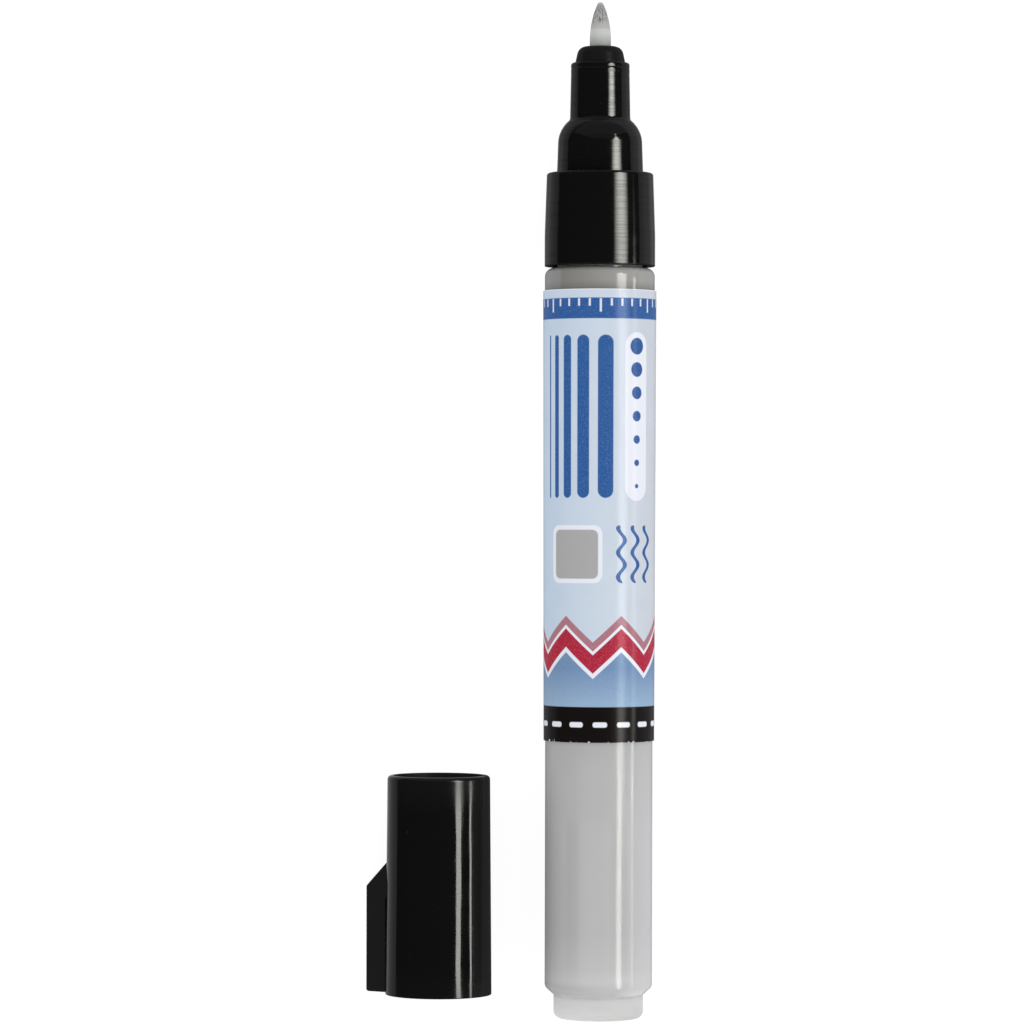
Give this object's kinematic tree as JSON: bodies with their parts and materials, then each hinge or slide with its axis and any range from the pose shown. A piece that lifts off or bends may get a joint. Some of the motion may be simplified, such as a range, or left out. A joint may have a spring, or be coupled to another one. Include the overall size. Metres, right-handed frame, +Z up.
{
  "type": "felt-tip paint marker",
  "caption": "Round paint marker with a slim fibre nib on a pump valve, a wrapped label, a translucent barrel, and a clip cap lying off beside it.",
  "frame": {"origin": "centre of the flat end face of the butt, on the pen's axis", "axes": "+Y along the pen's axis towards the nib, +Z up with the pen lying on its side, +X away from the cap"},
  "size_m": [0.0395, 0.1384, 0.0154],
  "materials": {
    "barrel_plastic": "glossy translucent grey",
    "plug_plastic": "satin pale grey",
    "label_film": "printed film, satin",
    "black_gloss": "polished black",
    "black_satin": "satin black",
    "nib_fibre": "pressed fibre with dried paint",
    "white_plastic": "natural white",
    "seal_rubber": "soft black",
    "spring_steel": "drawn wire",
    "ball_steel": "polished"
  },
  "bodies": {
    "pen": {"barrel": "barrel_plastic", "tail_plug": "plug_plastic", "label": "label_film", "collar": "black_gloss", "front_section": "black_gloss", "nib_holder": "black_satin", "neck_seal": "seal_rubber", "valve_cage": "white_plastic", "valve_seat": "seal_rubber", "valve_spring": "spring_steel"},
    "pump": {"nib": "nib_fibre", "valve_stem": "white_plastic"},
    "ball": {"mixing_ball": "ball_steel"},
    "cap": {"cap_shell": "black_gloss", "cap_liner": "white_plastic"}
  },
  "joints": [
    {"name": "nib_pump", "type": "slide", "parent": "pen", "child": "pump", "axis": [0, -1, 0], "range_m": [0, 0.002], "stiffness_N_per_m": 800, "deforming": ["valve_spring"]},
    {"name": "ball_roll", "type": "slide", "parent": "pen", "child": "ball", "axis": [0, 1, 0], "range_m": [0, 0.0802]},
    {"name": "cap_slide", "type": "slide", "parent": "pen", "child": "cap", "axis": [0, 1, 0], "range_m": [0, 0.1119]}
  ]
}
